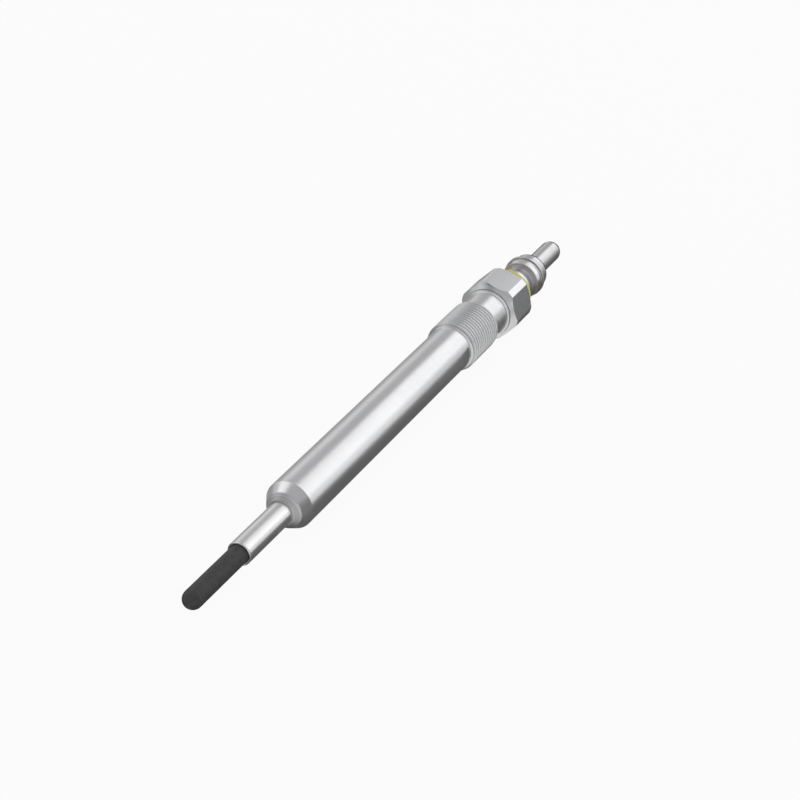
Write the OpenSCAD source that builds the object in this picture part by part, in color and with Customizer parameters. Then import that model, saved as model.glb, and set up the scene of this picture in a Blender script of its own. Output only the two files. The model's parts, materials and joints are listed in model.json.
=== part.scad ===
// Diesel glow plug with a ceramic heater rod, lying on a flat of its hexagon.
// Each piece is drawn upright about the plug's axis, with the heater tip at z = 0, and lie_down()
// puts it at rest along X. Names that end in _s are places along the axis, from the heater tip.

/* [Heater rod] */
// Diameter of the ceramic rod
rod_d = 3.4; // [3:0.05:3.7]
// Length of the rod in front of its sleeve
rod_out = 15.2; // [12:0.1:20]
// Ceramic in front of the heating loop
tip_cover = 0.9; // [0.7:0.05:1.4]
// Length of the heating loop, from its bow to its leads
loop_l = 8; // [5:0.1:10]
// Thickness of the heating loop
loop_d = 0.8; // [0.6:0.05:0.9]
// Distance between the two legs of the loop
leg_pitch = 1.5; // [1.3:0.05:1.6]
// Diameter of the two lead wires
lead_d = 0.45; // [0.3:0.05:0.55]
// Length of sleeve behind the place where the ground lead meets it
ground_back = 6; // [3:0.1:10]

/* [Support sleeve] */
// Outside diameter of the sleeve
sleeve_d = 4.25; // [4:0.05:4.7]
// Length of sleeve that shows in front of the shell
sleeve_out = 13.2; // [10:0.1:17]
// Length of sleeve held in the shell
sleeve_in = 12.8; // [10:0.1:16]
// Chamfer on the sleeve's front edge
sleeve_edge = 0.22; // [0.1:0.02:0.3]

/* [Shell] */
// Width of the flat ring round the sleeve at the nose
nose_land = 0.2; // [0.1:0.05:0.5]
// Length of the sloping nose face
nose_l = 1; // [0.5:0.05:1.5]
// Diameter at the small end of the sealing cone
nose_d = 6.6; // [6:0.1:7.2]
// Length of the sealing cone
cone_l = 1.9; // [1.5:0.1:3]
// Diameter of the barrel
barrel_d = 8.7; // [8.2:0.05:8.9]
// Length of the barrel
barrel_l = 60.65; // [45:0.05:70]
// Length of the chamfer in front of the thread
lead_in_l = 0.45; // [0.3:0.05:2]
// Outside diameter of the thread
thread_d = 10; // [9.5:0.05:10.4]
// Length of full thread
thread_l = 10.1; // [8:0.1:14]
// Length of the chamfer behind the thread
run_out_l = 0.5; // [0.3:0.05:2]
// Diameter of the neck
neck_d = 9; // [8.4:0.05:9.3]
// Length of the neck with its ring and groove
neck_l = 5.85; // [3:0.05:7]
// Diameter of the low ring near the end of the neck
neck_ring_d = 9.6; // [9.4:0.05:10]
// Length of the slope up to that ring
neck_ring_l = 0.2; // [0.1:0.05:0.8]
// Width of that ring
neck_ring_w = 0.25; // [0.1:0.05:0.5]
// Width of the groove between that ring and the hexagon
neck_groove_l = 0.2; // [0.1:0.05:0.6]
// Diameter at the small end of the hexagon's front slope
root_d = 10; // [9.6:0.05:10.3]
// Hexagon across its flats
hex_af = 11; // [10.6:0.1:12]
// Hexagon across its turned corners
hex_corner_d = 12; // [11.6:0.05:12.4]
// Length of the hexagon with its two slopes
hex_l = 8; // [7:0.05:11]
// Diameter of the rear face inside the hexagon's rear slope
hex_face_d = 10.8; // [10.2:0.05:11]
// Bore of the barrel
bore_d = 5.8; // [5.2:0.05:6.2]
// Length of the tight bore that holds the sleeve
nose_bore_l = 7.5; // [5:0.1:9.5]
// Bore in the hexagon for the seal and the bush
seal_bore_d = 6.9; // [6.5:0.05:7.4]

/* [Connection] */
// Bare rod between the sleeve and the connection ring
ring_gap = 1.7; // [1:0.1:3]
// Length of rod, and of centre rod, held in the ring
ring_hold = 3; // [2:0.1:4]
// Space between the ends of the two rods in the ring
ring_space = 0.5; // [0.2:0.1:1]
// Outside diameter of the ring
ring_d = 4.4; // [4.1:0.05:4.8]
// Diameter of the centre rod
stud_d = 4; // [3.8:0.05:4.3]
// Diameter of the centre rod's tail in the terminal
tail_d = 3.2; // [2.6:0.05:3.5]
// Length of the tail
tail_l = 8; // [5:0.1:8.6]
// Space at the bottom of the terminal's bore, past the tail
tail_space = 0.5; // [0.2:0.1:0.8]

/* [Insulating bush] */
// Diameter of the bush's flange
flange_d = 9.4; // [8.6:0.1:10.2]
// Thickness of the flange
flange_t = 2.15; // [1:0.05:2.5]
// Length of the bush inside the hexagon
bush_l = 4; // [2.5:0.1:4.6]

/* [Terminal] */
// Diameter of the collar's front band
band_d = 7.5; // [7:0.05:7.8]
// Chamfer on the front band's edge
band_edge = 0.2; // [0.1:0.05:0.4]
// Length of the front band
band_l = 1.95; // [1.5:0.05:4]
// Diameter at the bottom of the waist
waist_d = 6.6; // [6:0.05:7]
// Length of the waist's long front slope
waist_drop_l = 2.5; // [1.5:0.1:3.5]
// Length of the waist's steep slope up to the flare
waist_rise_l = 0.45; // [0.2:0.05:1]
// Diameter where the flare begins
flare_d = 8.1; // [7.6:0.05:8.2]
// Length of the flare
flare_l = 1; // [0.8:0.05:2]
// Diameter of the rim
rim_d = 8.4; // [8.2:0.05:8.8]
// Width of the rim
rim_l = 0.65; // [0.2:0.05:0.8]
// Depth of the groove behind the rim
groove_depth = 0.3; // [0.1:0.05:0.4]
// Width of the groove
groove_l = 0.45; // [0.2:0.05:0.6]
// Diameter of the bead behind the groove
bead_d = 8.4; // [8:0.05:8.6]
// Width of the bead
bead_l = 0.6; // [0.3:0.05:1.2]
// Length of the slope behind the bead
step_l = 0.5; // [0.2:0.05:0.8]
// Diameter of the collar's rear end
rear_d = 7.4; // [7:0.05:7.6]
// Length of the collar's rear end
rear_l = 2.3; // [1.5:0.1:3.5]
// Rounding on the collar's rear edge
rear_round = 0.8; // [0.2:0.05:1]
// Diameter of the push-on pin
pin_d = 4.25; // [3.9:0.05:4.6]
// Length of the pin with its round end
pin_l = 12.3; // [9:0.1:16]

/* [Fits] */
// Radial gap of a pressed or brazed joint
press_gap = 0.02; // [0.01:0.005:0.03]
// Radial gap round the insulating bush
bush_gap = 0.05; // [0.02:0.01:0.1]

/* [Hidden] */
$fn = 96;

// Angles that stay the same at every size
hex_front_angle = 45;
hex_rear_angle = 30;
drill_angle = 59;

// Cutters reach this far past the faces that they cut
over = 1;

// Places along the axis, from the heater tip to the end of the pin
sleeve_s = rod_out;
nose_s = sleeve_s + sleeve_out;
cone_s = nose_s + nose_l;
barrel_s = cone_s + cone_l;
lead_in_s = barrel_s + barrel_l;
thread_s = lead_in_s + lead_in_l;
run_out_s = thread_s + thread_l;
neck_s = run_out_s + run_out_l;
root_s = neck_s + neck_l;
hex_rear_s = root_s + hex_l;
collar_s = hex_rear_s + flange_t;
waist_s = collar_s + band_l;
rise_s = waist_s + waist_drop_l;
flare_s = rise_s + waist_rise_l;
rim_s = flare_s + flare_l;
groove_s = rim_s + rim_l;
bead_s = groove_s + groove_l;
step_s = bead_s + bead_l;
rear_s = step_s + step_l;
pin_s = rear_s + rear_l;
end_s = pin_s + pin_l;

// Places inside the shell
bore_s = nose_s + nose_bore_l;
sleeve_end_s = nose_s + sleeve_in;
ring_s = sleeve_end_s + ring_gap;
rod_end_s = ring_s + ring_hold;
stud_s = rod_end_s + ring_space;
ring_end_s = stud_s + ring_hold;
bush_s = hex_rear_s - bush_l;
cord_r = (seal_bore_d - stud_d) / 4;
seal_s = bush_s - 2 * cord_r;

// Heating loop and leads
bow_s = tip_cover + (leg_pitch + loop_d) / 2;
leg_end_s = tip_cover + loop_l;
supply_exit_s = rod_end_s - ring_hold / 2;
ground_exit_s = sleeve_end_s - ground_back;

// Bores that take their size from what they hold
nose_bore_d = sleeve_d + 2 * press_gap;
rod_bore_d = rod_d + 2 * press_gap;
tail_bore_d = tail_d + 2 * press_gap;
bush_d = seal_bore_d - 2 * bush_gap;
bush_bore_d = stud_d + 2 * bush_gap;

// The hexagon's slopes, by the radius that each place reaches
hex_flat_s = root_s + (hex_af - root_d) / 2 / tan(hex_front_angle);
hex_corner_s = root_s + (hex_corner_d - root_d) / 2 / tan(hex_front_angle);
hex_corner_end_s = hex_rear_s - (hex_corner_d - hex_face_d) / 2 * tan(hex_rear_angle);

// Rest: the plug lies on the barrel's front edge and on the hexagon or the thread
rest_tilt = max(atan2(hex_af - barrel_d, 2 * (hex_flat_s - barrel_s)),
                atan2(thread_d - barrel_d, 2 * (thread_s - barrel_s)));
rest_lift = barrel_d / 2 * cos(rest_tilt) - barrel_s * sin(rest_tilt);
rest_low_x = rod_d / 2 * (cos(rest_tilt) - 1);
rest_high_x = (end_s - pin_d / 2) * cos(rest_tilt) + pin_d / 2;

// Lays an upright piece down along X, heater tip towards -X, with the plug's middle over the origin
module lie_down() {
    translate([-(rest_low_x + rest_high_x) / 2, 0, rest_lift])
        rotate([0, 90 - rest_tilt, 0])
            children();
}

// A round solid from its outline, as pairs of diameter and place, with any round ends as children
module turned(outline) {
    rotate_extrude() {
        polygon([for (p = outline) [p[0] / 2, p[1]]]);
        children();
    }
}

// Section of a round end that begins at a place, towards the heater tip or, with side 1, towards the pin
module round_end(d, from_s, side) {
    translate([0, from_s])
        intersection() {
            circle(d = d);
            translate([0, side > 0 ? 0 : -d])
                square(d);
        }
}

// A straight round stretch from one place to another
module stretch(d, from_s, to_s) {
    translate([0, 0, from_s])
        cylinder(d = d, h = to_s - from_s);
}

// Ceramic rod before the loop and its leads take their room in it
module rod_blank() {
    turned([[0, rod_d / 2], [rod_d, rod_d / 2], [rod_d, rod_end_s], [0, rod_end_s]])
        round_end(rod_d, rod_d / 2, -1);
}

// U-shaped loop, with its bow towards the tip
module loop_shape() {
    translate([0, 0, bow_s])
        rotate([-90, 0, 0])
            rotate_extrude(angle = 180)
                translate([leg_pitch / 2, 0])
                    circle(d = loop_d);
    for (side = [-1, 1])
        translate([side * leg_pitch / 2, 0, 0])
            stretch(loop_d, bow_s, leg_end_s);
}

// Lead wire from one leg of the loop, bent outwards to the rod's surface at exit_s
module lead_shape(side, exit_s) {
    bend_r = lead_d;
    lead_x = side * leg_pitch / 2;
    intersection() {
        union() {
            translate([lead_x, 0, 0])
                stretch(lead_d, leg_end_s, exit_s - bend_r);
            translate([lead_x + side * bend_r, 0, exit_s - bend_r])
                rotate([90, 0, 0])
                    rotate_extrude(start = side > 0 ? 90 : 0, angle = 90)
                        translate([bend_r, 0])
                            circle(d = lead_d);
            translate([lead_x + side * bend_r, 0, exit_s])
                rotate([0, side * 90, 0])
                    cylinder(d = lead_d, h = rod_d);
        }
        rod_blank();
    }
}

module supply_shape() {
    lead_shape(1, supply_exit_s);
}

module ground_shape() {
    lead_shape(-1, ground_exit_s);
}

// Turned hexagon, with a flat that ends up underneath
module hexagon() {
    intersection() {
        rotate([0, 0, 30])
            translate([0, 0, root_s])
                cylinder(d = hex_af / cos(30), h = hex_l, $fn = 6);
        turned([[0, root_s], [root_d, root_s], [hex_corner_d, hex_corner_s],
                [hex_corner_d, hex_corner_end_s], [hex_face_d, hex_rear_s], [0, hex_rear_s]]);
    }
}

// Bores of the shell, from the nose to the hexagon's rear face
module shell_bores() {
    drill_l = (bore_d - nose_bore_d) / 2 / tan(drill_angle);
    stretch(nose_bore_d, nose_s - over, bore_s + over);
    turned([[0, bore_s - drill_l], [nose_bore_d, bore_s - drill_l], [bore_d, bore_s],
            [bore_d, seal_s + over], [0, seal_s + over]]);
    stretch(seal_bore_d, seal_s, hex_rear_s + over);
}

module shell() color("silver") lie_down() {
    land_d = sleeve_d + 2 * nose_land;
    land_end_s = root_s - neck_groove_l;
    land_s = land_end_s - neck_ring_w;
    difference() {
        union() {
            turned([[0, nose_s], [land_d, nose_s], [nose_d, cone_s], [barrel_d, barrel_s],
                    [barrel_d, lead_in_s], [thread_d, thread_s], [thread_d, run_out_s],
                    [neck_d, neck_s], [neck_d, land_s - neck_ring_l], [neck_ring_d, land_s],
                    [neck_ring_d, land_end_s], [neck_d, land_end_s], [neck_d, root_s], [0, root_s]]);
            hexagon();
        }
        shell_bores();
    }
}

module support_sleeve() color("gainsboro") lie_down() {
    difference() {
        turned([[0, sleeve_s], [sleeve_d - 2 * sleeve_edge, sleeve_s], [sleeve_d, sleeve_s + sleeve_edge],
                [sleeve_d, sleeve_end_s], [0, sleeve_end_s]]);
        stretch(rod_bore_d, sleeve_s - over, sleeve_end_s + over);
    }
}

module heater_rod() color([0.2, 0.2, 0.21]) lie_down() {
    difference() {
        rod_blank();
        loop_shape();
        supply_shape();
        ground_shape();
    }
}

module heating_loop() color([0.35, 0.3, 0.28]) lie_down() loop_shape();

module supply_lead() color([0.45, 0.45, 0.48]) lie_down() supply_shape();

module ground_lead() color([0.45, 0.45, 0.48]) lie_down() ground_shape();

module connection_ring() color("darkgray") lie_down() {
    difference() {
        stretch(ring_d, ring_s, ring_end_s);
        stretch(rod_bore_d, ring_s - over, ring_end_s + over);
    }
}

// Its front end has the heater rod's diameter, so that one bore holds both
module centre_rod() color("slategray") lie_down() {
    stretch(rod_d, stud_s, ring_end_s);
    stretch(stud_d, ring_end_s, collar_s);
    stretch(tail_d, collar_s, collar_s + tail_l);
}

module o_ring() color([0.1, 0.1, 0.1]) lie_down() {
    translate([0, 0, bush_s - cord_r])
        rotate_extrude()
            translate([stud_d / 2 + cord_r, 0])
                circle(r = cord_r - press_gap);
}

module insulating_bush() color([0.75, 0.68, 0.3]) lie_down() {
    difference() {
        turned([[0, bush_s], [bush_d, bush_s], [bush_d, hex_rear_s], [flange_d, hex_rear_s],
                [flange_d, collar_s], [0, collar_s]]);
        stretch(bush_bore_d, bush_s - over, collar_s + over);
    }
}

module terminal() color("lightgray") lie_down() {
    dome_s = end_s - pin_d / 2;
    groove_d = bead_d - 2 * groove_depth;
    difference() {
        turned([[0, collar_s], [band_d - 2 * band_edge, collar_s], [band_d, collar_s + band_edge],
                [band_d, waist_s], [waist_d, rise_s], [flare_d, flare_s], [rim_d, rim_s],
                [rim_d, groove_s], [groove_d, groove_s], [groove_d, bead_s], [bead_d, bead_s],
                [bead_d, step_s], [rear_d, rear_s], [rear_d, pin_s - rear_round],
                [rear_d - 2 * rear_round, pin_s], [pin_d, pin_s], [pin_d, dome_s], [0, dome_s]])
            round_end(pin_d, dome_s, 1);
        stretch(tail_bore_d, collar_s - over, collar_s + tail_l + tail_space);
    }
}

shell();
support_sleeve();
heater_rod();
heating_loop();
supply_lead();
ground_lead();
connection_ring();
centre_rod();
o_ring();
insulating_bush();
terminal();
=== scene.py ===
import json
import math

import bmesh
import bpy
from mathutils import Euler, Matrix, Vector


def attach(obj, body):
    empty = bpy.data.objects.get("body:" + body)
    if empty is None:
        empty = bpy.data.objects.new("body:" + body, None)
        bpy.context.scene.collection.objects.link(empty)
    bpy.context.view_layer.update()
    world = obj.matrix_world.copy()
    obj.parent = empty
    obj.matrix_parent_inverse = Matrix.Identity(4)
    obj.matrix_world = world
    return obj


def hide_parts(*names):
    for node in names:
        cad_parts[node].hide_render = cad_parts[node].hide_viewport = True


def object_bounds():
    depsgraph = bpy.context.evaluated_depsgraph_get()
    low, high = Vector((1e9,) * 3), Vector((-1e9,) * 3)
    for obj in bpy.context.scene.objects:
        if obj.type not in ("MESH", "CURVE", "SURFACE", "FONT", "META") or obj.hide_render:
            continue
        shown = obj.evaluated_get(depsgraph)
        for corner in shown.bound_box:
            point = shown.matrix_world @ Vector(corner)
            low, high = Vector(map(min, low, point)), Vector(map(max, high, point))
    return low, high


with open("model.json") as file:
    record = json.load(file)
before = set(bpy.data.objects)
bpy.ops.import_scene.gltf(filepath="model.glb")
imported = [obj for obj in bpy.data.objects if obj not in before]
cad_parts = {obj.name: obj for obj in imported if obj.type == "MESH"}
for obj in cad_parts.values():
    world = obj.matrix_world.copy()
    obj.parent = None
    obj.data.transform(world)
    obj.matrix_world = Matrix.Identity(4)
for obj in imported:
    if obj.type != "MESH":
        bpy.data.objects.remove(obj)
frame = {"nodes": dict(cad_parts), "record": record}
cadLow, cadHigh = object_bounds()
print("frame loaded:", len(frame["nodes"]), "nodes")

# Pieces are drawn in mm along X, heater tip at 0, and layDown puts them where the plug rests
mm = 0.001
mounts = {mount["name"]: mount for mount in frame["record"]["mounts"]}
plugAxis = Vector(mounts["terminal_pin"]["axis"])
pinMiddle = Vector(mounts["terminal_pin"]["pos_m"])
heaterTip = pinMiddle + plugAxis * ((cadLow.x - pinMiddle.x) / plugAxis.x)
restTilt = math.atan2(plugAxis.z, plugAxis.x)
layDown = Matrix.Translation(heaterTip) @ Matrix.Rotation(-restTilt, 4, "Y") @ Matrix.Scale(mm, 4)

lathe = {
    "axis": (1, 0, 0),
    "steps": 160,            # facets round a turned piece
    "weld": 0.002,           # points closer than this are one point
    "fineWeld": 0.0005,      # the same where small edges have to stay
    "ringReach": 0.004,      # how exactly a turned corner is found
    "endReach": 0.1,         # and an open end of the thread
    "softSegments": 3,       # facets across a softened edge
    "roundSegments": 8,      # and across a rounding wider than roundFrom
    "roundFrom": 0.3,
    "sharpFrom": 40,         # degrees; steeper edges stay crisp
}


def chainOf(bm, outline, closed=False):          # outline: places along the axis with their radius
    points = [bm.verts.new((along, 0, radius)) for along, radius in outline]
    for start, end in zip(points, points[1:]):
        bm.edges.new((start, end))
    if closed:
        bm.edges.new((points[-1], points[0]))


def turned(outline, closed=False):
    bm = bmesh.new()
    chainOf(bm, outline, closed)
    bmesh.ops.spin(bm, geom=bm.verts[:] + bm.edges[:], cent=(0, 0, 0), axis=lathe["axis"],
                   angle=math.tau, steps=lathe["steps"], use_merge=True)
    bmesh.ops.remove_doubles(bm, verts=bm.verts[:], dist=lathe["weld"])
    return bm


def cornersOf(piece, names):                     # names: a place and a diameter in the piece's dictionary
    return [(piece[at], piece[width] / 2) for at, width in names]


def radiusOf(point):
    return math.hypot(point.y, point.z)


def putOnRing(vert, along, radius):
    share = radius / radiusOf(vert.co)
    vert.co = (along, vert.co.y * share, vert.co.z * share)


def ringAt(bm, along, radius):                   # the edges of one turned corner
    def onRing(vert):
        near = lathe["ringReach"]
        return abs(vert.co.x - along) < near and abs(radiusOf(vert.co) - radius) < near
    return [edge for edge in bm.edges if all(onRing(vert) for vert in edge.verts)]


def soften(bm, edges, width):
    facets = lathe["roundSegments"] if width > lathe["roundFrom"] else lathe["softSegments"]
    bmesh.ops.bevel(bm, geom=edges, offset=width, offset_type="OFFSET", affect="EDGES",
                    segments=facets, profile=0.5, material=-1, clamp_overlap=True)


def softenRings(bm, piece, rings):               # rings: names of place, diameter and soft width
    for at, width, soft in rings:
        soften(bm, ringAt(bm, piece[at], piece[width] / 2), piece[soft])


def finishPiece(name, bm, node, material):
    bmesh.ops.remove_doubles(bm, verts=bm.verts[:], dist=lathe["weld"])
    bmesh.ops.dissolve_degenerate(bm, edges=bm.edges[:], dist=lathe["fineWeld"])
    bmesh.ops.recalc_face_normals(bm, faces=bm.faces[:])
    mesh = bpy.data.meshes.new(name)
    bm.to_mesh(mesh)
    bm.free()
    mesh.shade_smooth()
    mesh.set_sharp_from_angle(angle=math.radians(lathe["sharpFrom"]))
    mesh.materials.append(material)
    piece = bpy.data.objects.new(name, mesh)
    bpy.context.scene.collection.objects.link(piece)
    # Flats stay flat beside soft edges; applied while in mm, because in metres the faces are too small for it
    evenShade = piece.modifiers.new("evenShade", "WEIGHTED_NORMAL")
    evenShade.keep_sharp = True
    graph = bpy.context.evaluated_depsgraph_get()
    piece.data = bpy.data.meshes.new_from_object(piece.evaluated_get(graph), depsgraph=graph)
    piece.modifiers.remove(evenShade)
    piece.data.name = name
    piece.data.transform(layDown)
    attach(piece, "root")
    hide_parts(node)
    print(name, "made:", len(piece.data.polygons), "faces")


# Materials: Object coordinates are turned into mm along the plug, from the heater tip

surface = {
    "bumpStrength": 0.5,
    "noiseSpread": (0.3, 0.7),                   # the part of the noise that roughness follows
    "streaksAndShade": (0.35, 0.65),                     # and where a zone's tones begin and end
}


def startMaterial(name):
    material = bpy.data.materials.new(name)
    material.use_nodes = True
    nodes, links = material.node_tree.nodes, material.node_tree.links
    coords = nodes.new("ShaderNodeTexCoord")
    along = nodes.new("ShaderNodeMapping")
    along.vector_type = "TEXTURE"
    along.inputs["Location"].default_value = heaterTip
    along.inputs["Rotation"].default_value = (0, -restTilt, 0)
    along.inputs["Scale"].default_value = (mm, mm, mm)
    links.new(coords.outputs["Object"], along.inputs["Vector"])
    return material, nodes, links, along.outputs["Vector"]


def noiseAlong(nodes, links, vector, stretch, detail, roughness=0.6):
    scaled = nodes.new("ShaderNodeMapping")
    scaled.inputs["Scale"].default_value = stretch   # features per mm on X, Y and Z
    links.new(vector, scaled.inputs["Vector"])
    noise = nodes.new("ShaderNodeTexNoise")
    noise.inputs["Scale"].default_value = 1
    noise.inputs["Detail"].default_value = detail
    noise.inputs["Roughness"].default_value = roughness
    links.new(scaled.outputs["Vector"], noise.inputs["Vector"])
    return noise.outputs["Fac"]


def rampOf(nodes, links, value, stops):          # stops: position and colour
    ramp = nodes.new("ShaderNodeValToRGB")
    elements = ramp.color_ramp.elements
    elements[0].position, elements[-1].position = stops[0][0], stops[-1][0]
    for position, _ in stops[1:-1]:
        elements.new(position)
    for element, (_, colour) in zip(elements, stops):
        element.color = (*colour, 1)
    links.new(value, ramp.inputs["Fac"])
    return ramp.outputs["Color"]


def rangeOf(nodes, links, value, low, high, source):
    spread = nodes.new("ShaderNodeMapRange")
    spread.inputs["From Min"].default_value, spread.inputs["From Max"].default_value = source
    spread.inputs["To Min"].default_value, spread.inputs["To Max"].default_value = low, high
    links.new(value, spread.inputs["Value"])
    return spread.outputs["Result"]


def bumpFrom(nodes, links, value, depth):        # depth in mm
    bump = nodes.new("ShaderNodeBump")
    bump.inputs["Strength"].default_value = surface["bumpStrength"]
    bump.inputs["Distance"].default_value = depth * mm
    links.new(value, bump.inputs["Height"])
    return bump.outputs["Normal"]


def mathOf(nodes, links, operation, value, other):   # other is a socket or a number
    step = nodes.new("ShaderNodeMath")
    step.operation = operation
    links.new(value, step.inputs[0])
    if isinstance(other, bpy.types.NodeSocket):
        links.new(other, step.inputs[1])
    else:
        step.inputs[1].default_value = other
    return step.outputs["Value"]


def mixOf(nodes, links, kind, share, first, second):   # second is a socket, or a plain value or colour
    mix = nodes.new("ShaderNodeMix")
    mix.data_type = kind
    sockets = [socket for socket in mix.inputs if socket.enabled]
    links.new(share, sockets[0])
    links.new(first, sockets[1])
    if isinstance(second, bpy.types.NodeSocket):
        links.new(second, sockets[2])
    else:
        sockets[2].default_value = second
    return next(socket for socket in mix.outputs if socket.enabled)


def insideOf(nodes, links, along, start, end):   # 1 between two places along the plug, otherwise 0
    place = nodes.new("ShaderNodeSeparateXYZ")
    links.new(along, place.inputs["Vector"])
    past = mathOf(nodes, links, "GREATER_THAN", place.outputs["X"], start)
    before = mathOf(nodes, links, "LESS_THAN", place.outputs["X"], end)
    return mathOf(nodes, links, "MULTIPLY", past, before)


def rootOf(nodes, links, along, low, high):      # 1 at the thread's root, 0 at its crest
    across = nodes.new("ShaderNodeVectorMath")
    across.operation = "MULTIPLY"
    across.inputs[1].default_value = (0, 1, 1)
    links.new(along, across.inputs[0])
    radius = nodes.new("ShaderNodeVectorMath")
    radius.operation = "LENGTH"
    links.new(across.outputs["Vector"], radius.inputs[0])
    return rangeOf(nodes, links, radius.outputs["Value"], 1, 0, (low, high))


def metalFinish(name, look):
    material, nodes, links, along = startMaterial(name)
    shader = nodes["Principled BSDF"]
    shader.inputs["Metallic"].default_value = 1
    cloud = noiseAlong(nodes, links, along, look["cloud"], detail=3)
    lines = noiseAlong(nodes, links, along, look["lines"], detail=5, roughness=0.7)
    colour = rampOf(nodes, links, cloud, look["colours"])
    rough = rangeOf(nodes, links, lines, *look["roughness"], surface["noiseSpread"])
    base = Vector(look["colours"][0][1])
    # A zone's tones give turning streaks; on the terminal's waist and rear rounding they are painted shade
    for start, end, zoneRough, tones in look.get("zones", {}).values():
        inside = insideOf(nodes, links, along, start, end)
        rough = mixOf(nodes, links, "FLOAT", inside, rough, zoneRough)
        stops = [(position, base * tone) for position, tone in zip(surface["streaksAndShade"], tones)]
        streaksAndShade = rampOf(nodes, links, lines, stops)
        colour = mixOf(nodes, links, "RGBA", inside, colour, streaksAndShade)
    # Painted shade: the thread's root is toned darker by radius, in place of the shade in its grooves
    if "threadRootPaintedShade" in look:
        rootShade = look["threadRootPaintedShade"]
        inside = insideOf(nodes, links, along, rootShade["start"], rootShade["end"])
        deep = rootOf(nodes, links, along, rootShade["root"], rootShade["crest"])
        share = mathOf(nodes, links, "MULTIPLY", inside, deep)
        colour = mixOf(nodes, links, "RGBA", share, colour, (*(base * rootShade["tone"]), 1))
    links.new(colour, shader.inputs["Base Color"])
    links.new(rough, shader.inputs["Roughness"])
    links.new(bumpFrom(nodes, links, lines, look["lineDepth"]), shader.inputs["Normal"])
    return material


def plainFinish(name, look):                     # ceramic, plastic and rubber
    material, nodes, links, along = startMaterial(name)
    shader = nodes["Principled BSDF"]
    shader.inputs["Specular IOR Level"].default_value = look["shine"]
    cloud = noiseAlong(nodes, links, along, look["cloud"], detail=5, roughness=0.65)
    grain = noiseAlong(nodes, links, along, look["grain"], detail=3)
    rough = rangeOf(nodes, links, grain, *look["roughness"], surface["noiseSpread"])
    links.new(rampOf(nodes, links, cloud, look["colours"]), shader.inputs["Base Color"])
    links.new(rough, shader.inputs["Roughness"])
    links.new(bumpFrom(nodes, links, grain, look["grainDepth"]), shader.inputs["Normal"])
    return material


# Shell: a helical thread first, then the turned body out of both its ends, then the milled hexagon

shell = {
    "noseAt": 28.4, "noseBore": 4.26, "noseLand": 4.65,
    "coneAt": 29.4, "coneFront": 6.6,
    "barrelAt": 31.3, "barrel": 8.7,
    "leadInAt": 91.95, "threadAt": 92.4, "runOutAt": 102.5, "neckAt": 103.0,
    "reliefAt": 92.2, "reliefEnd": 92.48,        # narrow groove before the first ridge
    "relief": 9.1, "reliefLip": 0.03,
    "thread": 2 * mounts["thread"]["dims"]["r_mm"], "pitch": 0.8, "ridgeDepth": 0.46,
    "ridge": ((0.0, 0), (0.2, 0), (0.53, 1), (0.67, 1)),   # share of the pitch, share of the depth
    "turnsBefore": 1.5, "turnsPast": 2,          # the helix starts and ends past both chamfers
    "neck": 9.0, "neckRingAt": 108.15, "ringTopAt": 108.3, "neckRing": 9.6,
    "grooveAt": 108.62, "groove": 9.3,
    "rootAt": 108.75, "root": 9.8, "cornersAt": 109.85, "cornersEnd": 116.504,
    "corners": 12.0, "flats": 11.0, "rearAt": 116.85, "rearFace": 10.8,
    "sides": 6, "firstFlat": -90,                # degrees; the first flat lies underneath
    "boreStep": 35.446, "boreAt": 35.9, "bore": 5.8, "sealAt": 111.4, "sealBore": 6.9,
    "softNose": 0.008, "softCone": 0.1, "softBarrel": 0.07, "softBore": 0.05,
    "softNeck": 0.08, "softRing": 0.03, "softHexagon": 0.06,
}
shellLook = {
    "cloud": (0.05, 0.2, 0.2),
    "lines": (7, 0.15, 0.15),                    # fine turning lines
    "lineDepth": 0.0012,
    "colours": ((0.3, (0.65, 0.655, 0.66)), (0.7, (0.71, 0.71, 0.715))),
    "roughness": (0.29, 0.35),
    "zones": {                                   # name: start, end, roughness, lowest and highest tone
        "roughNose": (28.3, 29.38, 0.48, (0.62, 0.98)),
        "rolledThread": (92.0, 102.95, 0.34, (0.96, 1.04)),
        "drawnHexagon": (109.3, 116.8, 0.24, (0.98, 1.04)),
    },
    "threadRootPaintedShade": {                              # painted shade in the thread's root, darker by radius
        "start": 92.2, "end": 102.5, "root": 4.66, "crest": 4.92, "tone": 0.72,
    },
}


def cutAcross(bm, at, side=1, clear=False):      # clear takes off what lies past the cut on that side
    bmesh.ops.bisect_plane(bm, geom=bm.verts[:] + bm.edges[:] + bm.faces[:], dist=lathe["weld"],
                           plane_co=(at, 0, 0), plane_no=(side, 0, 0), clear_outer=clear)


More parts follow.
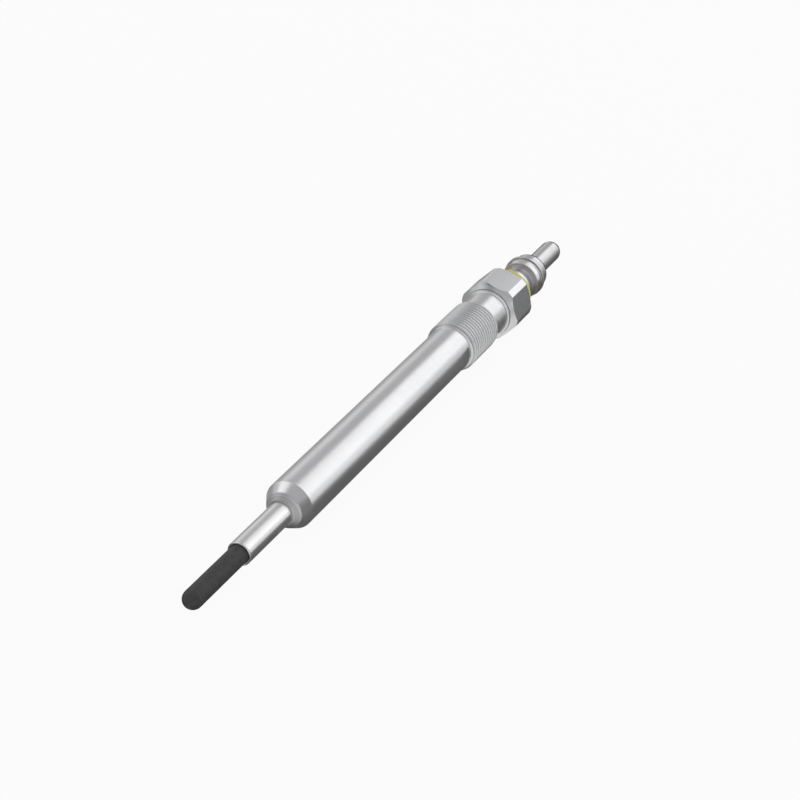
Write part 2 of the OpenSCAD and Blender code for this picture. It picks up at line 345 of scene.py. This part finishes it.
def threadedTube():
    bm = bmesh.new()
    pitch, crest = shell["pitch"], shell["thread"] / 2
    first = shell["leadInAt"] - shell["turnsBefore"] * pitch
    turns = math.ceil((shell["neckAt"] - first) / pitch) + shell["turnsPast"]
    chainOf(bm, [(first + (turn + part) * pitch, crest - (1 - height) * shell["ridgeDepth"])
                 for turn in range(turns) for part, height in shell["ridge"]])
    bmesh.ops.subdivide_edges(bm, edges=bm.edges[:], cuts=1)
    bmesh.ops.spin(bm, geom=bm.verts[:] + bm.edges[:], cent=(0, 0, 0), axis=lathe["axis"],
                   dvec=(pitch / lathe["steps"], 0, 0), angle=math.tau, steps=lathe["steps"])
    bmesh.ops.remove_doubles(bm, verts=bm.verts[:], dist=lathe["weld"])
    lip, reliefAt, reliefEnd = shell["reliefLip"], shell["reliefAt"], shell["reliefEnd"]
    for at in (reliefAt, reliefAt + lip, reliefEnd - lip, reliefEnd, shell["runOutAt"]):
        cutAcross(bm, at)
    barrel, neck = shell["barrel"] / 2, shell["neck"] / 2
    for vert in bm.verts:                        # chamfers cut the ridges off at both ends
        rise = (vert.co.x - shell["leadInAt"]) / (shell["threadAt"] - shell["leadInAt"])
        fall = (vert.co.x - shell["runOutAt"]) / (shell["neckAt"] - shell["runOutAt"])
        limit = min(max(barrel + rise * (crest - barrel), barrel), max(crest - fall * (crest - neck), neck))
        if reliefAt + lip / 2 < vert.co.x < reliefEnd - lip / 2:
            limit = shell["relief"] / 2
        if radiusOf(vert.co) > limit:
            putOnRing(vert, vert.co.x, limit)
    cutAcross(bm, shell["leadInAt"], side=-1, clear=True)
    cutAcross(bm, shell["neckAt"], clear=True)
    return bm


def openRing(bm, at):
    return [edge for edge in bm.edges
            if edge.is_boundary and abs(edge.verts[0].co.x - at) < lathe["endReach"]]


def turnOn(bm, ring, outline):                   # carries an open ring on through an outline
    for along, radius in outline:
        grown = bmesh.ops.extrude_edge_only(bm, edges=ring)["geom"]
        fresh = {part for part in grown if isinstance(part, bmesh.types.BMVert)}
        for vert in fresh:
            putOnRing(vert, along, radius)
        ring = [part for part in grown
                if isinstance(part, bmesh.types.BMEdge) and fresh.issuperset(part.verts)]
    return ring


def millFlats(bm):
    edges = []
    for turn in range(shell["sides"]):
        angle = math.radians(360 / shell["sides"] * turn + shell["firstFlat"])
        facing = Vector((0, math.cos(angle), math.sin(angle)))
        blank = [face for face in bm.faces
                 if shell["rootAt"] < face.calc_center_median().x < shell["rearAt"]
                 and radiusOf(face.calc_center_median()) > shell["root"] / 2]
        parts = {part for face in blank for part in (face, *face.edges, *face.verts)}
        cut = bmesh.ops.bisect_plane(bm, geom=list(parts), dist=lathe["fineWeld"],
                                     plane_co=facing * (shell["flats"] / 2), plane_no=facing,
                                     clear_outer=True)["geom_cut"]
        rim = [part for part in cut if isinstance(part, bmesh.types.BMEdge)]
        flat = bmesh.ops.contextual_create(bm, geom=rim)["faces"]
        edges += [edge for face in flat for edge in face.edges]
    return edges


def makeShell():
    bm = threadedTube()
    front, rear = openRing(bm, shell["leadInAt"]), openRing(bm, shell["neckAt"])
    for ring, at, width in ((front, "leadInAt", "barrel"), (rear, "neckAt", "neck")):
        for vert in {vert for edge in ring for vert in edge.verts}:
            putOnRing(vert, shell[at], shell[width] / 2)
    front = turnOn(bm, front, cornersOf(shell, (
        ("barrelAt", "barrel"), ("coneAt", "coneFront"), ("noseAt", "noseLand"), ("noseAt", "noseBore"),
        ("boreStep", "noseBore"), ("boreAt", "bore"), ("sealAt", "bore"))))
    rear = turnOn(bm, rear, cornersOf(shell, (
        ("neckRingAt", "neck"), ("ringTopAt", "neckRing"), ("grooveAt", "neckRing"), ("grooveAt", "groove"),
        ("rootAt", "groove"), ("rootAt", "root"), ("cornersAt", "corners"), ("cornersEnd", "corners"),
        ("rearAt", "rearFace"), ("rearAt", "sealBore"), ("sealAt", "sealBore"))))
    bmesh.ops.bridge_loops(bm, edges=front + rear)
    soften(bm, millFlats(bm), shell["softHexagon"])
    softenRings(bm, shell, (
        ("noseAt", "noseLand", "softBore"), ("noseAt", "noseBore", "softNose"),
        ("coneAt", "coneFront", "softCone"), ("barrelAt", "barrel", "softBarrel"),
        ("neckRingAt", "neck", "softNeck"), ("ringTopAt", "neckRing", "softRing"),
        ("grooveAt", "neckRing", "softRing"), ("rearAt", "sealBore", "softBore")))
    finishPiece("threadedShell", bm, "shell", metalFinish("turnedShellSteel", shellLook))


makeShell()

# Support sleeve: a drawn tube with a rounded lip round the ceramic

sleeve = {
    "frontAt": 15.2, "rearAt": 41.2, "outside": 4.25, "bore": 3.44,
    "roundLip": 0.2, "softBore": 0.12,
}
sleeveLook = {
    "cloud": (0.1, 0.3, 0.3),
    "lines": (0.3, 7, 7),                        # drawing lines along the tube
    "lineDepth": 0.002,
    "colours": ((0.3, (0.68, 0.68, 0.69)), (0.7, (0.76, 0.755, 0.75))),
    "roughness": (0.27, 0.33),
}


def makeSleeve():
    bm = turned(cornersOf(sleeve, (
        ("frontAt", "bore"), ("frontAt", "outside"), ("rearAt", "outside"), ("rearAt", "bore"))), closed=True)
    softenRings(bm, sleeve, (("frontAt", "outside", "roundLip"), ("frontAt", "bore", "softBore")))
    finishPiece("supportTube", bm, "support_sleeve", metalFinish("drawnTubeSteel", sleeveLook))


makeSleeve()

# Insulating bush: its flange shows behind the hexagon

bush = {
    "frontAt": 112.85, "flangeAt": 116.85, "rearAt": 119.0, "body": 6.8, "flange": 9.4, "bore": 4.1,
    "roundFlange": 0.12, "softBody": 0.1,
}
bushLook = {
    "cloud": (0.5, 0.5, 0.5),
    "grain": (14, 14, 14),
    "grainDepth": 0.006,
    "shine": 0.5,
    "colours": ((0.3, (0.64, 0.57, 0.1)), (0.7, (0.76, 0.69, 0.17))),
    "roughness": (0.38, 0.52),
}


def makeBush():
    bm = turned(cornersOf(bush, (
        ("frontAt", "bore"), ("frontAt", "body"), ("flangeAt", "body"),
        ("flangeAt", "flange"), ("rearAt", "flange"), ("rearAt", "bore"))), closed=True)
    softenRings(bm, bush, (
        ("frontAt", "body", "softBody"), ("flangeAt", "flange", "roundFlange"),
        ("rearAt", "flange", "roundFlange")))
    finishPiece("flangedBush", bm, "insulating_bush",
                plainFinish("mouldedYellowPlastic", bushLook))


makeBush()

# Terminal: stepped collar and push-on pin, turned in one piece

terminal = {
    "frontAt": 119.0, "band": 7.5, "bandEnd": 121.1,
    "waistAt": 124.25, "waist": 6.4,
    "flareAt": 124.35, "flare": 7.7,
    "rimAt": 125.4, "rim": 7.96, "rimEnd": 7.86,
    "grooveAt": 126.15, "groove": 7.68,
    "beadAt": 126.4, "bead": 8.4, "beadEnd": 127.05,
    "rearAt": 127.4, "rear": 7.4, "rearEnd": 129.8,
    "pin": 2 * mounts["terminal_pin"]["dims"]["r_mm"], "pinEnd": 141.7,
    "bore": 3.24, "boreEnd": 127.5,
    "domeSteps": 12,
    "softBand": 0.18, "softEdge": 0.05, "softBead": 0.14, "roundRear": 0.8, "pinRoot": 0.1,
}
terminalLook = {
    "cloud": (0.35, 0.3, 0.3),
    "lines": (8, 0.1, 0.1),
    "lineDepth": 0.0012,
    "colours": (                                 # faint plating tints
        (0.3, (0.62, 0.61, 0.64)), (0.5, (0.65, 0.65, 0.65)), (0.7, (0.66, 0.65, 0.62))),
    "roughness": (0.28, 0.34),
    "zones": {
        # painted shade: the waist between band and flare is toned darker; its roughness is the finish
        "waistPaintedShade": (121.1, 124.33, 0.34, (0.84, 0.94)),
        # painted reflection: the rear rounding is toned to about a third, in place of the dark it reflects
        "rearRoundPaintedDark": (128.97, 129.5, 0.24, (0.34, 0.44)),
    },
}


def makeTerminal():
    pin, steps = terminal["pin"] / 2, terminal["domeSteps"]
    domeAt = terminal["pinEnd"] - pin
    quarter = [math.pi / 2 * step / steps for step in range(steps + 1)]
    dome = [(domeAt + pin * math.sin(angle), pin * math.cos(angle)) for angle in quarter]
    collar = cornersOf(terminal, (
        ("boreEnd", "bore"), ("frontAt", "bore"), ("frontAt", "band"), ("bandEnd", "band"),
        ("waistAt", "waist"), ("flareAt", "flare"), ("rimAt", "rim"), ("grooveAt", "rimEnd"),
        ("grooveAt", "groove"), ("beadAt", "groove"), ("beadAt", "bead"), ("beadEnd", "bead"),
        ("rearAt", "rear"), ("rearEnd", "rear"), ("rearEnd", "pin")))
    bm = turned([(terminal["boreEnd"], 0)] + collar + dome)
    softenRings(bm, terminal, (
        ("frontAt", "band", "softBand"), ("rearEnd", "rear", "roundRear"), ("rearEnd", "pin", "pinRoot"),
        ("bandEnd", "band", "softEdge"), ("waistAt", "waist", "softEdge"), ("flareAt", "flare", "softEdge"),
        ("rimAt", "rim", "softEdge"), ("grooveAt", "rimEnd", "softEdge"), ("beadAt", "bead", "softEdge"),
        ("rearAt", "rear", "softEdge"), ("beadEnd", "bead", "softBead")))
    finishPiece("terminalPin", bm, "terminal",
                metalFinish("platedTerminalSteel", terminalLook))


makeTerminal()

# CAD nodes that keep their shape: the ceramic rod, and what the shell hides

ceramicLook = {
    "cloud": (1.1, 1.3, 1.3),
    "grain": (16, 16, 16),
    "grainDepth": 0.008,
    "shine": 0.2,
    "colours": ((0.3, (0.05, 0.05, 0.052)), (0.55, (0.066, 0.066, 0.068)), (0.75, (0.082, 0.081, 0.081))),
    "roughness": (0.42, 0.55),
}
innerLooks = {
    "conductiveCeramic": {
        "nodes": ("heating_loop",),
        "cloud": (2, 2, 2), "grain": (18, 18, 18), "grainDepth": 0.006, "shine": 0.4,
        "colours": ((0.3, (0.08, 0.07, 0.066)), (0.7, (0.12, 0.11, 0.105))), "roughness": (0.5, 0.65)},
    "sealRubber": {
        "nodes": ("o_ring",),
        "cloud": (1, 1, 1), "grain": (20, 20, 20), "grainDepth": 0.006, "shine": 0.35,
        "colours": ((0.3, (0.022, 0.022, 0.022)), (0.7, (0.035, 0.035, 0.036))), "roughness": (0.55, 0.7)},
    "leadWireMetal": {
        "nodes": ("supply_lead", "ground_lead"),
        "cloud": (0.5, 1, 1), "lines": (0.5, 20, 20), "lineDepth": 0.002,
        "colours": ((0.3, (0.36, 0.36, 0.38)), (0.7, (0.44, 0.44, 0.46))), "roughness": (0.3, 0.42)},
    "drawnRodSteel": {
        "nodes": ("connection_ring", "centre_rod"),
        "cloud": (0.2, 0.3, 0.3), "lines": (0.3, 8, 8), "lineDepth": 0.003,
        "colours": ((0.3, (0.5, 0.51, 0.53)), (0.7, (0.6, 0.6, 0.62))), "roughness": (0.26, 0.38)},
}
nodeFinish = {"heater_rod": plainFinish("groundCeramic", ceramicLook)}
for finish, look in innerLooks.items():
    makeFinish = metalFinish if "lines" in look else plainFinish
    material = makeFinish(finish, look)
    nodeFinish.update({name: material for name in look["nodes"]})
for name, material in nodeFinish.items():
    for holder in frame["nodes"][name].material_slots:
        holder.material = material
print("kept nodes finished:", ", ".join(nodeFinish))

# Studio: pale floor, soft panels, cards that only reflections see, and the camera

studio = {
    "floorHalf": 6.0,
    "floorColour": (0.78, 0.78, 0.78),
    "floorGlow": 0.93,                           # share of white the floor shows, the rest keeps the shadow
    "wallLow": (0.72, 0.72, 0.725), "wallHigh": (0.52, 0.52, 0.525), "wallBlend": 0.4,
    "panels": {                                  # name: place, size, power, all towards the plug
        "rearPanel": ((0.4503, -0.1472, 0.3697), (0.57, 0.295), 0.56),
        "lowRightPanel": ((0.473, -0.29, 0.23), (0.24, 0.095), 0.05),
        "backPanel": ((0.3925, 0.3768, 0.12), (0.17, 0.15), 0.0286),
        "leftPanel": ((0.03, 0.47, 0.38), (0.3, 0.45), 0.42),
        "leftFrontPanel": ((-0.37, 0.47, 0.12), (0.3, 0.2), 0.075),
        "frontPanel": ((-0.6, -0.15, 0.25), (0.6, 0.4), 0.226),
        "rightPanel": ((-0.37, -0.49, 0.21), (0.3, 0.25), 0.106),
        "rightRearPanel": ((0.43, -0.42, 0.13), (0.16, 0.14), 0.06),
    },
    "cards": {                                   # name: middle, half sizes, turn in degrees, glow
        "rightFloorCard": ((0.37, -0.33, 0.0004), (0.43, 0.3295), (0, 0, 0), 0.13),
        "leftFloorCard": ((0.1, 0.0505, 0.0004), (0.3, 0.05), (0, 0, 0), 0.39),
        "rearFloorCard": ((0.134, 0.0185, 0.0006), (0.066, 0.0215), (0, 0, 0), 0.04),
        "rodRightCard": ((-0.069, -0.01025, 0.0006), (0.009, 0.00975), (0, 0, 0), 0.08),
        "rodLeftCard": ((-0.065, 0.01025, 0.0006), (0.014, 0.00975), (0, 0, 0), 0.15),
        "sideCard": ((-0.1, -0.45, 0.2), (0.07, 0.2), (90, 0, 0), 0.05),
        "sideRearCard": ((0.16, -0.45, 0.15), (0.19, 0.15), (90, 0, 0), 0.38),
        "topCard": ((-0.256, 0.256, 0.345), (0.12, 0.12), (0, 0, 0), 0.1),
        "lowRearCard": ((0.6, 0.01, 0.12), (0.12, 0.21), (0, 90, 0), 0.04),
        "lowRightRearCard": ((0.6, -0.31, 0.045), (0.045, 0.11), (0, 90, 0), 0.08),
        # The backs stand close to their cards, or the gap between them shows as a line on the steel
        "noseCardBack": ((-0.04652, -0.01525, 0.0025), (0.0025, 0.01475), (0, 90, 0), 0.13),
        "noseCard": ((-0.0465, -0.01525, 0.0025), (0.0025, 0.01475), (0, 90, 0), 0.8),
        "noseFloorCard": ((-0.0444, -0.01225, 0.0006), (0.0019, 0.00775), (0, 0, 0), 0.8),
        "threadCardBack": ((0.02048, -0.04025, 0.004), (0.004, 0.03975), (0, 90, 0), 0.13),
        "threadCard": ((0.0205, -0.04025, 0.004), (0.004, 0.03975), (0, 90, 0), 0.85),
        "threadFloorCard": ((0.02585, -0.01075, 0.0006), (0.00515, 0.00325), (0, 0, 0), 0.8),
        "hexagonCardBack": ((0.03418, -0.0229, 0.003), (0.003, 0.0176), (0, 90, 0), 0.13),
        "hexagonCard": ((0.0342, -0.0229, 0.003), (0.003, 0.0176), (0, 90, 0), 0.85),
        "hexagonFloorCard": ((0.0372, -0.0165, 0.0006), (0.0029, 0.0135), (0, 0, 0), 0.85),
    },
}
view = {
    "place": (-0.27807, -0.086546, 0.20376),
    "aim": (-0.0004, -0.00039, 0.005),
    "roll": 17.4515,                             # degrees
    "lens": 89.3557,
    "sensor": 36.0,
    "nearest": 0.01,
}


def flatPlate(name, halfSizes, place, turn, material):
    bm = bmesh.new()
    bmesh.ops.create_grid(bm, x_segments=1, y_segments=1, size=1)
    bmesh.ops.scale(bm, vec=(*halfSizes, 1), verts=bm.verts[:])
    facing = Euler([math.radians(angle) for angle in turn]).to_matrix()
    bmesh.ops.rotate(bm, cent=(0, 0, 0), matrix=facing, verts=bm.verts[:])
    bmesh.ops.translate(bm, vec=place, verts=bm.verts[:])
    mesh = bpy.data.meshes.new(name)
    bm.to_mesh(mesh)
    bm.free()
    mesh.materials.append(material)
    plate = bpy.data.objects.new(name, mesh)
    bpy.context.scene.collection.objects.link(plate)
    return plate


def startPlate(name):                            # a material with nothing but its output
    material = bpy.data.materials.new(name)
    material.use_nodes = True
    nodes, links = material.node_tree.nodes, material.node_tree.links
    nodes.remove(nodes["Principled BSDF"])
    return material, nodes, links, nodes["Material Output"].inputs["Surface"]


def floorFinish():
    material, nodes, links, surfaceOut = startPlate("paleFloor")
    shaded, glow = nodes.new("ShaderNodeBsdfDiffuse"), nodes.new("ShaderNodeEmission")
    shaded.inputs["Color"].default_value = (*studio["floorColour"], 1)
    rays, blend = nodes.new("ShaderNodeLightPath"), nodes.new("ShaderNodeMixShader")
    seen = rays.outputs["Is Camera Ray"]
    for other in ("Is Glossy Ray", "Is Transmission Ray"):
        seen = mathOf(nodes, links, "MAXIMUM", seen, rays.outputs[other])
    share = mathOf(nodes, links, "MULTIPLY", seen, studio["floorGlow"])
    links.new(share, blend.inputs["Fac"])
    links.new(shaded.outputs["BSDF"], blend.inputs[1])
    links.new(glow.outputs["Emission"], blend.inputs[2])
    links.new(blend.outputs["Shader"], surfaceOut)
    return material


def cardFinish(name, glow):
    material, nodes, links, surfaceOut = startPlate(name)
    shade = nodes.new("ShaderNodeEmission")
    shade.inputs["Color"].default_value = (glow, glow, glow, 1)
    links.new(shade.outputs["Emission"], surfaceOut)
    return material


def makeWalls():                                 # lighter near the floor than overhead
    world = bpy.data.worlds.new("studioWalls")
    world.use_nodes = True
    nodes, links = world.node_tree.nodes, world.node_tree.links
    coords, place = nodes.new("ShaderNodeTexCoord"), nodes.new("ShaderNodeSeparateXYZ")
    links.new(coords.outputs["Generated"], place.inputs["Vector"])
    walls = rampOf(nodes, links, place.outputs["Z"],
                   ((0, studio["wallLow"]), (studio["wallBlend"], studio["wallHigh"])))
    links.new(walls, nodes["Background"].inputs["Color"])
    bpy.context.scene.world = world


def makeStudio():
    scene = bpy.context.scene
    scene.view_settings.view_transform = "Standard"
    makeWalls()
    flatPlate("floor", (studio["floorHalf"],) * 2, (0, 0, 0), (0, 0, 0), floorFinish())
    for name, (place, halfSizes, turn, glow) in studio["cards"].items():
        card = flatPlate(name, halfSizes, place, turn, cardFinish(name, glow))
        card.visible_camera = card.visible_diffuse = card.visible_shadow = False
    for name, (place, size, power) in studio["panels"].items():
        lamp = bpy.data.lights.new(name, "AREA")
        lamp.shape, lamp.energy = "RECTANGLE", power
        lamp.size, lamp.size_y = size
        panel = bpy.data.objects.new(name, lamp)
        panel.location = place
        panel.rotation_euler = (-Vector(place)).to_track_quat("-Z", "Y").to_euler()
        panel.visible_camera = False
        scene.collection.objects.link(panel)


def makeCamera():
    lens = bpy.data.cameras.new("photoView")
    lens.lens, lens.sensor_width = view["lens"], view["sensor"]
    lens.clip_start = view["nearest"]
    camera = bpy.data.objects.new("photoView", lens)
    camera.location = view["place"]
    look = (Vector(view["aim"]) - Vector(view["place"])).to_track_quat("-Z", "Y").to_matrix()
    camera.rotation_euler = (look @ Matrix.Rotation(math.radians(view["roll"]), 3, "Z")).to_euler()
    bpy.context.scene.collection.objects.link(camera)
    bpy.context.scene.camera = camera


makeStudio()
makeCamera()
print("studio and camera set")

bpy.context.view_layer.update()
